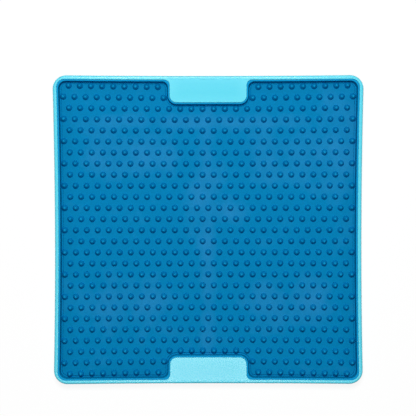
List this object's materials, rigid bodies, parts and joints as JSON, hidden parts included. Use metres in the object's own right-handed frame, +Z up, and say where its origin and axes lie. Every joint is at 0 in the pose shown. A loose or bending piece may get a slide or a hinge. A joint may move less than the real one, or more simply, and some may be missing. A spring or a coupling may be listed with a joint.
{
  "type": "lick mat",
  "caption": "Square pet feeding mat: soft pad of domed nubs set in a hard raised-rim tray with two end tabs and soft feet.",
  "frame": {"origin": "middle of the footprint, on the surface that the feet stand on", "axes": "+X across the mat, +Y from the front tab to the back tab, +Z up through the nubs"},
  "size_m": [0.2012, 0.2008, 0.0096],
  "materials": {
    "tray": "satin moulded polypropylene, sky cyan",
    "pad": "matte moulded thermoplastic rubber, deep blue",
    "foot": "matte moulded thermoplastic rubber, deep blue"
  },
  "bodies": {
    "root": {"tray": "tray", "pad": "pad", "foot_back_left": "foot", "foot_back_right": "foot", "foot_front_left": "foot", "foot_front_right": "foot"}
  },
  "joints": []
}
